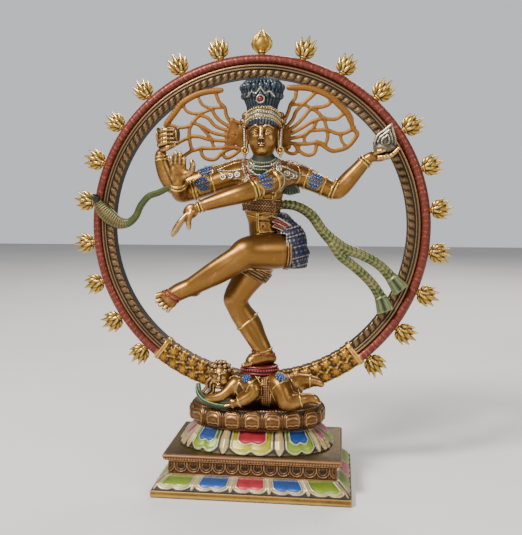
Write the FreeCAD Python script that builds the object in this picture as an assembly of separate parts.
"""Dancing figure in a ring of flames on a lotus plinth: a cast and cold-painted brass table statue.

Frame: millimetres, +Z up, the front of the statue faces -Y, +X is on the viewer's right.
The origin is on the table, at the centre of the plinth. The statue has no moving part, so
every node is a casting, plate, pin or pad that is fixed to its neighbours.
"""
import FreeCAD
import Part
import math
import os

V = FreeCAD.Vector
OUT = "parts"
os.makedirs(OUT, exist_ok=True)

# ---------------------------------------------------------------- driving dimensions, mm
FELT_T = 1.0                      # felt pad under the plinth
FELT_INSET = 2.5
FOOT_W, FOOT_D = 143.0, 93.0      # lowest tier
FOOT_BAND_TOP = 5.5               # top of its straight band
BLOCK_W, BLOCK_D = 121.0, 72.0    # scalloped block
BLOCK_Z = 14.0
SLAB_W, SLAB_D = 128.0, 78.0      # slab over the block
SLAB_Z = 25.0
SKIRT_Z = 30.0                    # petal skirt on the slab
SKIRT_LOW = (57.0, 36.5)          # half sizes of the skirt where it lies on the slab
SKIRT_TOP = (44.0, 26.5)
SEAT_Z = 44.5                     # beaded oval seat
SEAT_TOP = 61.0
SEAT_HALF = (51.0, 31.0)

RING_R = 127.0                    # ring of fire, outer radius
RING_IN = 110.0
RING_Z = 191.7                    # height of its centre
RING_Y = 4.0                      # its middle plane
ROLL_HALF = 6.2                   # half depth of the outer roll
RIDGE_HALF = 5.4
FRIEZE_HALF = 4.4
RIDGE_IN, RIDGE_OUT = 115.5, 119.0
TAIL_END = 38.0                   # each leafy end reaches this far from the bottom, degrees
TAIL_BLOCK = (16.0, 3.8)          # half block under each end: width, half depth
TENON = (6.0, 5.0)                # peg under that block, let into the seat: half width, depth

FLAMES = 21
FLAME_STEP = 13.8                 # degrees between flames
TOP_FLAME = 88.8                  # where the row's middle one stands, degrees
FLAME_LONG = 17.5
CROWN_FLAME_LONG = 18.5
FLAME_HALF_W, FLAME_HALF_D = 7.0, 3.6
FLAME_NECK = 2.3

FAN_Y = -5.0                      # hair fans: front face of the plates
FAN_T = 2.0
HEAD_X = 5.8                      # middle of the head
FAN_HUB_X, FAN_HUB_Z = 9.0, 257.0  # each fan's own centre, from the head's middle and from the table
FAN_HUB_R = 8.0
FAN_RADII = (44.0, 78.0, 44.0)    # upper edge, middle pull and lower edge of the fan's rim
FAN_UPPER, FAN_LOWER = 66.0, -26.0  # degrees
FAN_SWIRL = 9.0
FAN_LOBES = 9
FAN_ROWS = ((0.08, 0.36, 5), (0.43, 0.64, 6), (0.71, 0.90, 7))  # openings: from, to, how many
HAIR_KNOT_R = 11.0

DRUM_AT = (-63.8, -14.0, 259.2)
DRUM_LONG, DRUM_R = 15.0, 4.8
SCARF_HALF_T = 1.5
ARMLET_W, BANGLE_W = 4.5, 4.0


# ---------------------------------------------------------------- helpers
def save(name, shape):
    """Writes one node, and says so if a solid in it isn't sound."""
    if not shape.isValid():
        print("NOT VALID:", name)
    shape.exportStep(os.path.join(OUT, name + ".step"))
    print(f"{name:22s} solids {len(shape.Solids):3d}  volume {shape.Volume:9.1f}")


def main_solid(shape):
    """The largest solid of a cut's result."""
    solids = sorted(shape.Solids, key=lambda s: s.Volume)
    return solids[-1]


def box(x0, x1, y0, y1, z0, z1):
    return Part.makeBox(x1 - x0, y1 - y0, z1 - z0, V(x0, y0, z0))


def oval(centre, along, half_a, half_b, side=V(1, 0, 0), points=12):
    """A closed curve around `centre`, square to `along`; half_a lies towards `side`."""
    along = V(along).normalize()
    a = side - along * side.dot(along)
    a.normalize()
    b = along.cross(a)
    ring = []
    for i in range(points):
        t = 2 * math.pi * i / points
        ring.append(centre + a * (half_a * math.cos(t)) + b * (half_b * math.sin(t)))
    curve = Part.BSplineCurve()
    curve.interpolate(Points=ring, PeriodicFlag=True)
    return Part.Wire([curve.toShape()])


def stack(sections):
    """A solid through upright ovals: (x, y, z, half_x, half_y), from the lowest up."""
    wires = [oval(V(x, y, z), V(0, 0, 1), a, b) for x, y, z, a, b in sections]
    return Part.makeLoft(wires, True, False)


def limb(sections, side=V(0, -1, 0)):
    """A solid along a path. A section is (x, y, z, r) or (x, y, z, half_side, half_across)."""
    centres = [V(*s[:3]) for s in sections]
    wires = []
    for i, s in enumerate(sections):
        here = centres[i]
        before = here - centres[i - 1] if i else V()
        after = centres[i + 1] - here if i + 1 < len(centres) else V()
        way = V()
        for run in (before, after):
            if run.Length > 0:
                way += V(run).normalize()
        half_a, half_b = (s[3], s[3]) if len(s) == 4 else (s[3], s[4])
        wires.append(oval(here, way, half_a, half_b, side, 8))
    return Part.makeLoft(wires, True, True)


def pin(start, end, radius):
    way = V(*end) - V(*start)
    return Part.makeCylinder(radius, way.Length, V(*start), way)


def frustum(low, z0, top, z1):
    """A solid between two rectangles, each given by its width and depth."""
    wires = []
    for (w, d), z in ((low, z0), (top, z1)):
        corners = [V(-w / 2, -d / 2, z), V(w / 2, -d / 2, z), V(w / 2, d / 2, z), V(-w / 2, d / 2, z)]
        wires.append(Part.makePolygon(corners + corners[:1]))
    return Part.makeLoft(wires, True, True)


def on_ring(radius, degrees, y=RING_Y):
    """A point of the ring's plane. 90 degrees is the top."""
    a = math.radians(degrees)
    return V(radius * math.cos(a), y, RING_Z + radius * math.sin(a))


# ---------------------------------------------------------------- plinth
def felt_pad():
    w, d = FOOT_W / 2 - FELT_INSET, FOOT_D / 2 - FELT_INSET
    return box(-w, w, -d, d, 0, FELT_T)


def foot_tier():
    band = box(-FOOT_W / 2, FOOT_W / 2, -FOOT_D / 2, FOOT_D / 2, FELT_T, FOOT_BAND_TOP)
    slope = frustum((FOOT_W - 1.6, FOOT_D - 1.6), FOOT_BAND_TOP, (BLOCK_W + 3, BLOCK_D + 3), BLOCK_Z)
    return band.fuse(slope).removeSplitter()


def scallop_block():
    return box(-BLOCK_W / 2, BLOCK_W / 2, -BLOCK_D / 2, BLOCK_D / 2, BLOCK_Z, SLAB_Z)


def top_slab():
    slab = box(-SLAB_W / 2, SLAB_W / 2, -SLAB_D / 2, SLAB_D / 2, SLAB_Z, SKIRT_Z)
    low = [e for e in slab.Edges if abs(e.CenterOfMass.z - SLAB_Z) < 0.01]
    return slab.makeChamfer(1.4, low)


def petal_skirt():
    low, top = SKIRT_LOW, SKIRT_TOP
    rise = SEAT_Z - SKIRT_Z
    mid = (0.45 * low[0] + 0.55 * top[0], 0.45 * low[1] + 0.55 * top[1])
    return stack([
        (0, 0, SKIRT_Z, low[0], low[1]),
        (0, 0, SKIRT_Z + 0.22 * rise, low[0] - 1.2, low[1] - 1.0),
        (0, 0, SKIRT_Z + 0.62 * rise, mid[0], mid[1]),
        (0, 0, SEAT_Z, top[0], top[1]),
    ])


def lotus_seat():
    a, b = SEAT_HALF
    h = SEAT_TOP - SEAT_Z
    return stack([
        (0, 0, SEAT_Z, a - 6.5, b - 5.5),
        (0, 0, SEAT_Z + 0.22 * h, a - 1.6, b - 1.4),
        (0, 0, SEAT_Z + 0.5 * h, a, b),
        (0, 0, SEAT_Z + 0.8 * h, a - 1.8, b - 1.6),
        (0, 0, SEAT_TOP, a - 5.0, b - 4.5),
    ])


# ---------------------------------------------------------------- ring of fire
def sweep_profile(outline, start, angle):
    """Turns an outline of (radius, y) points and arcs about the ring's axis."""
    edges = []
    for item in outline:
        pts = [on_ring(r, start, RING_Y + y) for r, y in item]
        edges.append(Part.makeLine(*pts) if len(pts) == 2 else Part.Arc(*pts).toShape())
    face = Part.Face(Part.Wire(edges))
    return face.revolve(V(0, RING_Y, RING_Z), V(0, -1, 0), angle)


def ring_outline():
    f, g, h = FRIEZE_HALF, RIDGE_HALF, ROLL_HALF
    mid = (RIDGE_OUT + RING_R) / 2
    return [
        [(RING_IN, f), (RING_IN, -f)],
        [(RING_IN, -f), (RIDGE_IN, -f)],
        [(RIDGE_IN, -f), (RIDGE_IN, -g)],
        [(RIDGE_IN, -g), (RIDGE_OUT, -g)],
        [(RIDGE_OUT, -g), (mid + 0.6, -h), (RING_R, 0)],
        [(RING_R, 0), (mid + 0.6, h), (RIDGE_OUT, g)],
        [(RIDGE_OUT, g), (RIDGE_IN, g)],
        [(RIDGE_IN, g), (RIDGE_IN, f)],
        [(RIDGE_IN, f), (RING_IN, f)],
    ]


def tail_outline():
    inner, outer, h = RING_IN - 0.8, RING_R + 0.6, ROLL_HALF
    return [
        [(inner, h - 2), (inner, 2 - h)],
        [(inner, 2 - h), ((inner + outer) / 2, -h - 0.6), (outer, 2 - h)],
        [(outer, 2 - h), (outer, h - 2)],
        [(outer, h - 2), ((inner + outer) / 2, h + 0.6), (inner, h - 2)],
    ]


def ring_hoop():
    return sweep_profile(ring_outline(), -90 + TAIL_END, 360 - 2 * TAIL_END)


def ring_tail(side):
    """Leafy lower end of the ring, with the half block that stands on the seat."""
    start = -90 if side > 0 else -90 - TAIL_END
    tail = sweep_profile(tail_outline(), start, TAIL_END)
    w, d = TAIL_BLOCK
    x0, x1 = (0, w) if side > 0 else (-w, 0)
    foot = box(x0, x1, RING_Y - d, RING_Y + d, SEAT_TOP, RING_Z - RING_R + 6)
    half, depth = TENON
    middle = (x0 + x1) / 2
    peg = box(middle - half, middle + half, RING_Y - half / 2, RING_Y + half / 2, SEAT_TOP - depth, SEAT_TOP)
    return main_solid(tail.fuse([foot, peg]))


def flame(index):
    """Tuft of fire on a short neck; index 0 is the one on top, then left and right in turn."""
    way = (index + 1) // 2 * (1 if index % 2 else -1)
    degrees = TOP_FLAME + way * FLAME_STEP
    long = CROWN_FLAME_LONG if index == 0 else FLAME_LONG
    out = on_ring(1, degrees) - on_ring(0, degrees)
    across = V(0, 1, 0).cross(out)
    shape = [(-1.6, FLAME_NECK, 2.0), (2.6, FLAME_NECK + 0.4, 2.2), (7.0, 5.8, 3.2),
             (11.0, FLAME_HALF_W, FLAME_HALF_D), (long - 2.5, 4.0, 2.4), (long, 1.0, 0.8)]
    wires = [oval(on_ring(RING_R, degrees) + out * s, out, a, b, across, 8) for s, a, b in shape]
    return Part.makeLoft(wires, True, True)


# ---------------------------------------------------------------- hair fans
def rim_radius(radii, u):
    """Outer radius of a fan, from its upper edge (u = 0) to its lower edge (u = 1)."""
    upper, middle, lower = radii
    return upper * (1 - u) ** 2 + 2 * u * (1 - u) * middle + lower * u ** 2


def fan_point(side, part, u):
    """A point of the plate: `part` runs from the hub (0) to the rim (1)."""
    low = FAN_HUB_R
    radius = low + part * (rim_radius(FAN_RADII, u) - low)
    rise = FAN_UPPER + (FAN_LOWER - FAN_UPPER) * u + FAN_SWIRL * (radius / 60.0) ** 2
    a = math.radians(rise)
    return V(HEAD_X + side * (FAN_HUB_X + radius * math.cos(a)), FAN_Y, FAN_HUB_Z + radius * math.sin(a))


def polygon(points):
    return Part.makePolygon(points + points[:1])


def hair_fan(side, knot):
    """Flat pierced plate of flying locks: rows of openings round a hub beside the ear."""
    count = 2 * FAN_LOBES
    rim = [fan_point(side, 1.0 if i % 2 else 0.965, i / count) for i in range(count + 1)]
    inner = [fan_point(side, 0, 1), V(HEAD_X + side * 4, FAN_Y, FAN_HUB_Z), fan_point(side, 0, 0)]
    plate = Part.Face(polygon(rim + inner)).extrude(V(0, FAN_T, 0))
    holes = []
    for low, high, n in FAN_ROWS:
        for i in range(n):
            corners = [(low, 0.2), (low, 0.8), (high - 0.03, 0.84), (high, 0.5), (high - 0.03, 0.16)]
            points = [fan_point(side, part, (i + u) / n) for part, u in corners]
            holes.append(Part.Face(polygon(points)).extrude(V(0, FAN_T, 0)))
    plate = plate.cut(Part.makeCompound(holes))
    return main_solid(plate.cut(knot))


def hair_knot():
    """Round boss behind the head that carries both fans."""
    return pin((HEAD_X, -8.0, FAN_HUB_Z + 4), (HEAD_X, -2.0, FAN_HUB_Z + 4), HAIR_KNOT_R)


# ---------------------------------------------------------------- figure
def torso():
    return stack([
        (9, -13, 164, 8, 8), (9, -13, 173, 15, 11.5), (8, -13, 184, 13.5, 11),
        (6, -13, 194, 10.8, 9), (4.5, -13.5, 203, 11.5, 9), (4.5, -14, 213, 14, 10),
        (6, -14, 223, 16.5, 10), (7, -13.5, 231, 17, 8.5), (7, -13, 236, 11, 7),
        (6.5, -14, 240, 6.2, 6), (6.2, -15, 244, 5.6, 5.6),
    ])


def head():
    return stack([
        (6, -18, 242.5, 4.5, 4.5), (6, -18.5, 247, 8.5, 8), (HEAD_X, -17, 256, 11.5, 10.5),
        (HEAD_X, -16, 266, 11.2, 10.5), (5.6, -15, 272, 9.8, 9.5), (5.6, -15, 276, 7.5, 7.5),
    ])


def crown():
    return stack([
        (5.6, -15, 269, 11.8, 11.2), (5.5, -15, 277, 11.6, 11), (5.2, -14.5, 289, 15, 11),
        (5, -14, 295, 10, 8), (4.9, -14, 299.3, 2.5, 2.5),
    ])


def standing_leg():
    leg = limb([(6, -12, 173, 9.5), (-4, -15.5, 156, 9), (-14.2, -18, 141, 7.5), (-10.4, -16, 132, 7.3),
                (-5.6, -14, 125, 7.6), (0.6, -13.5, 113, 6.6), (6.6, -14, 102, 5.1), (7.5, -14, 96.5, 5.2)])
    foot = limb([(15.5, -11, 95.8, 3.4, 3.5), (8, -15, 96.3, 5.4, 4.8), (-1, -20, 95, 5, 3.4),
                 (-8, -24.5, 93.6, 4.2, 2.0)])
    return leg.fuse(foot)


def raised_leg():
    leg = limb([(22, -16, 176, 11.4), (8, -27, 177, 9.7), (-5.5, -35, 176.6, 7.8), (-13, -37, 171.8, 7),
                (-22.5, -37, 164.8, 6.4), (-35, -37, 156.4, 5.5), (-46, -37, 148.5, 5)])
    foot = limb([(-40, -35, 147.5, 3.6), (-48, -37, 146, 5.2, 5), (-57.5, -39.5, 143.5, 5.2, 3.6),
                 (-66.5, -41, 140, 4.2, 2.0)])
    return leg.fuse(foot)


def arm_across():
    """Left front arm: over the chest, the hand hanging towards the raised foot."""
    return limb([(21, -15, 230, 7), (14, -26, 226, 6.6), (2, -36, 220.2, 6.3), (-17, -39.5, 214, 5.2),
                 (-35.5, -41, 207.8, 3.8), (-42.6, -41.3, 202, 3, 4.5), (-48.5, -40.8, 195, 2.2, 3.8),
                 (-54.5, -40, 187.5, 1.4, 2.0)])


def arm_palm():
    """Right front arm: the open palm faces forward."""
    return limb([(-6, -15, 231, 7), (-30, -19, 224, 6.2), (-47, -22, 218, 5.6), (-55, -27, 217.5, 4.9),
                 (-53, -34, 222.5, 4.2), (-51, -37, 230, 3.2, 5.8), (-50.8, -38, 238, 2.6, 6.2),
                 (-51.5, -38.5, 246.5, 1.6, 3)])


def arm_drum():
    """Right back arm: the hand holds the small drum."""
    return limb([(-8, -8, 235, 6.5), (-36, -8, 229, 6), (-59, -8, 221.5, 5), (-65, -8.5, 223.5, 4.8),
                 (-69.5, -12, 241, 3.7), (-67.5, -12.5, 249, 4.4), (-65, -13, 254, 3.6)])


def arm_fire():
    """Left back arm: the hand carries the fire."""
    return limb([(22, -8, 233, 6.5), (42, -8, 225.5, 6), (56.5, -8, 218.5, 5), (62.5, -8, 219.5, 4.8),
                 (78.4, -10, 238.5, 3.7), (86, -11.5, 241.3, 3.6, 3.0), (95, -12, 243.5, 4.6, 2.0)])


def drum():
    x, y, z = DRUM_AT
    half, r = DRUM_LONG / 2, DRUM_R
    wires = [oval(V(x + s * half, y, z), V(1, 0, 0), k * r, k * r, V(0, -1, 0), 8)
             for s, k in ((-1, 1), (-0.7, 0.95), (0, 0.55), (0.7, 0.95), (1, 1))]
    return Part.makeLoft(wires, True, True)


def palm_fire():
    return stack([(92.2, -12, 244.5, 4.2, 3.6), (93, -12, 251, 5.4, 4), (95, -11.5, 258, 3.4, 2.8),
                  (96.3, -11, 265, 0.8, 0.8)])


def hip_cloth():
    return stack([(17, -13, 162, 16, 11), (16, -13, 171, 20.5, 13), (14.5, -13, 179, 19.5, 12.8),
                  (10.5, -13, 189, 16, 11.5), (8, -13, 196, 12.5, 10)])


def collar():
    return stack([(6.5, -14, 226.5, 15.5, 11.8), (6.6, -14, 232, 15.8, 11.2), (6.6, -14, 237, 12, 9.5),
                  (6.3, -14.5, 240.5, 8, 7.5)])


def band(centre, way, radius, width):
    """A plain ring round an arm or a leg, with its axis along `way`."""
    way = V(*way).normalize()
    start = V(*centre) - way * (width / 2)
    return Part.makeCylinder(radius, width, start, way)


def armlets():
    return [
        band((10, -31, 224), (-0.85, -0.5, -0.2), 8.3, ARMLET_W),
        band((-35, -21, 222.5), (-1, -0.17, -0.31), 7.4, ARMLET_W),
        band((-35, -8, 229.2), (-1, 0, -0.25), 7.2, ARMLET_W),
        band((44, -8, 224.6), (1, 0, -0.43), 7.2, ARMLET_W),
    ]


def wrist_bands():
    return [
        band((-31, -40.6, 209.5), (-0.93, -0.08, -0.33), 5.2, BANGLE_W),
        band((-52.3, -34.8, 224.8), (0.24, -0.36, 0.9), 5.3, 0.7 * BANGLE_W),
        band((-68.2, -11.2, 237.5), (-0.28, -0.17, 0.94), 5.2, BANGLE_W),
        band((74.8, -9.6, 234.4), (0.65, -0.07, 0.76), 5.2, BANGLE_W),
    ]


def anklets():
    return [
        band((5.6, -13.8, 103.4), (0.42, 0, -0.9), 7.0, ARMLET_W),
        band((-42.5, -37, 151.3), (-0.79, 0, -0.61), 6.8, ARMLET_W),
    ]


def scarf_tail():
    """Waist scarf that flies out to the right and forks; both ends lie on the ring."""
    def ribbon(points):
        return limb([(x, y, z, SCARF_HALF_T, half) for x, y, z, half in points])
    upper = ribbon([(12, -5.5, 209, 3.5), (28.4, -5, 208, 4), (40, -4.6, 201.5, 4), (48.5, -4.2, 190, 4),
                    (57, -4, 181.5, 5), (76, -3.6, 173.5, 4), (89, -3.4, 166, 4), (98, -3.4, 157, 4.5),
                    (106, -3.4, 147, 6.5)])
    lower = ribbon([(56, -4, 179, 4), (61.4, -4, 171.5, 3.6), (72.5, -3.8, 163, 3.6), (83.5, -3.6, 153, 3.8),
                    (90.5, -3.6, 142.5, 4.5), (95, -3.6, 131, 6.5)])
    return upper.fuse(lower)


def cobra():
    """Snake that leaves the right back arm, its hood over the ring."""
    body = limb([(-60, -13.5, 223, 2.0), (-71.5, -11, 217, 2.4), (-80.2, -9, 215, 2.5), (-86.8, -7.5, 207.5, 2.5),
                 (-90.8, -6.5, 200, 2.6), (-97, -5.8, 195.5, 2.6, 3.2), (-105, -5.2, 195.8, 2.2, 4.6),
                 (-113.5, -5.0, 201.5, 2.2, 5.6), (-119.8, -5.0, 209.5, 2.2, 4.4)])
    skull = Part.makeSphere(3.2, V(-120.5, -7, 213))
    return body.fuse(skull)


# ---------------------------------------------------------------- demon of ignorance, under the foot
def foot_rest():
    """Low oval cushion between the demon's back and the dancer's foot."""
    return stack([(4, -17.5, 86.0, 12.5, 8), (4, -17.5, 89.2, 13.5, 9), (4, -17.5, 92.0, 12.5, 8)])


def demon_body():
    return limb([(-16, -16, 74, 7.5, 8), (-5, -16, 73.5, 9.5, 12.5), (8, -16, 74.5, 9.5, 13.5),
                 (20, -16, 73, 9.5, 12.6), (29, -16, 71, 7.5, 9)])


def demon_head():
    return stack([(-23.5, -23, 75, 4, 4), (-24, -23.5, 78.5, 7.4, 7), (-24.3, -23, 84, 8.5, 8),
                  (-24.3, -22, 90, 7.4, 7), (-24, -21, 94, 5.6, 5.6), (-24, -21, 96.5, 2.6, 2.6)])


def demon_arm():
    return limb([(-5, -21, 80.5, 5), (0.5, -27, 78, 4.3), (1, -30, 74, 3.9), (-6, -31, 70, 3.4),
                 (-14, -31.5, 66, 3.2, 2.8)])


def demon_legs():
    near = limb([(18, -19, 80, 6.5), (21, -26, 75, 5.6), (26, -29, 70.5, 5), (34.5, -27.5, 68.5, 4),
                 (44, -26.5, 69.5, 3.6, 2.8)])
    far = limb([(26, -13, 73, 6.2), (35, -12, 79, 4.8), (40, -12, 78.5, 4.2), (47, -12, 77.5, 3.2, 2.8)])
    return [near, far]


def demon_serpent():
    return limb([(-41, -20, 76, 2.2), (-39, -23.5, 69, 2.4), (-31, -27.5, 65.3, 2.5), (-21, -29, 64.4, 2.5),
                 (-11, -27.5, 66, 2.2)])


# ---------------------------------------------------------------- assembly
def clear_of(shape, *neighbours):
    """The piece with its neighbours' volume taken out of it."""
    return main_solid(shape.cut(Part.makeCompound(list(neighbours))))


def build():
    """Every node, by name."""
    nodes = {}
    nodes["felt_pad"] = felt_pad()
    nodes["base_foot_tier"] = foot_tier()
    nodes["base_block"] = scallop_block()
    nodes["base_slab"] = top_slab()
    nodes["petal_skirt"] = petal_skirt()
    nodes["ring_hoop"] = ring_hoop()
    nodes["ring_tail_left"] = ring_tail(-1)
    nodes["ring_tail_right"] = ring_tail(1)
    tails = [nodes["ring_tail_left"], nodes["ring_tail_right"]]
    for number in range(FLAMES):
        nodes[f"flame_{number:02d}"] = clear_of(flame(number), nodes["ring_hoop"])

    seat = lotus_seat()
    body = clear_of(demon_body(), seat, *tails)
    rest = clear_of(foot_rest(), body)
    nodes["lotus_seat"] = clear_of(seat, *tails)
    nodes["demon_body"] = body
    nodes["demon_head"] = clear_of(demon_head(), body)
    nodes["demon_arm"] = clear_of(demon_arm(), body, seat, rest)
    near, far = [clear_of(leg, body, seat, rest) for leg in demon_legs()]
    nodes["demon_leg_near"] = near
    nodes["demon_leg_far"] = clear_of(far, near)
    nodes["demon_serpent"] = clear_of(demon_serpent(), body, nodes["demon_head"], nodes["demon_arm"])
    nodes["foot_rest"] = rest

    trunk = torso()
    nodes["figure_torso"] = trunk
    nodes["figure_head"] = clear_of(head(), trunk)
    nodes["crown"] = clear_of(crown(), nodes["figure_head"])
    nodes["raised_leg"] = clear_of(raised_leg(), trunk)
    nodes["standing_leg"] = clear_of(standing_leg(), trunk, nodes["raised_leg"], rest)
    nodes["hip_cloth"] = clear_of(hip_cloth(), trunk, nodes["raised_leg"], nodes["standing_leg"])
    nodes["arm_across"] = clear_of(arm_across(), trunk)
    nodes["arm_palm"] = clear_of(arm_palm(), trunk)
    nodes["arm_drum"] = clear_of(arm_drum(), trunk, nodes["arm_palm"])
    nodes["arm_fire"] = clear_of(arm_fire(), trunk, nodes["arm_across"])
    arms = [nodes[name] for name in ("arm_across", "arm_palm", "arm_drum", "arm_fire")]
    nodes["armlets"] = Part.makeCompound([clear_of(b, arm, trunk) for b, arm in zip(armlets(), arms)])
    nodes["collar"] = clear_of(collar(), trunk, nodes["figure_head"], nodes["armlets"], *arms)
    nodes["wrist_bands"] = Part.makeCompound([clear_of(b, arm) for b, arm in zip(wrist_bands(), arms)])
    legs = [nodes["standing_leg"], nodes["raised_leg"]]
    nodes["anklets"] = Part.makeCompound([clear_of(b, leg) for b, leg in zip(anklets(), legs)])
    nodes["drum"] = clear_of(drum(), nodes["arm_drum"])
    nodes["palm_fire"] = clear_of(palm_fire(), nodes["arm_fire"])
    nodes["scarf_tail"] = clear_of(scarf_tail(), trunk, nodes["ring_hoop"], nodes["arm_fire"])
    nodes["cobra"] = clear_of(cobra(), nodes["ring_hoop"], nodes["arm_drum"])
    knot = clear_of(hair_knot(), nodes["figure_head"], nodes["crown"])
    nodes["hair_knot"] = knot
    nodes["hair_fan_left"] = hair_fan(-1, knot)
    nodes["hair_fan_right"] = hair_fan(1, knot)
    return nodes


if __name__ == "__main__":
    for node, shape in build().items():
        save(node, shape)
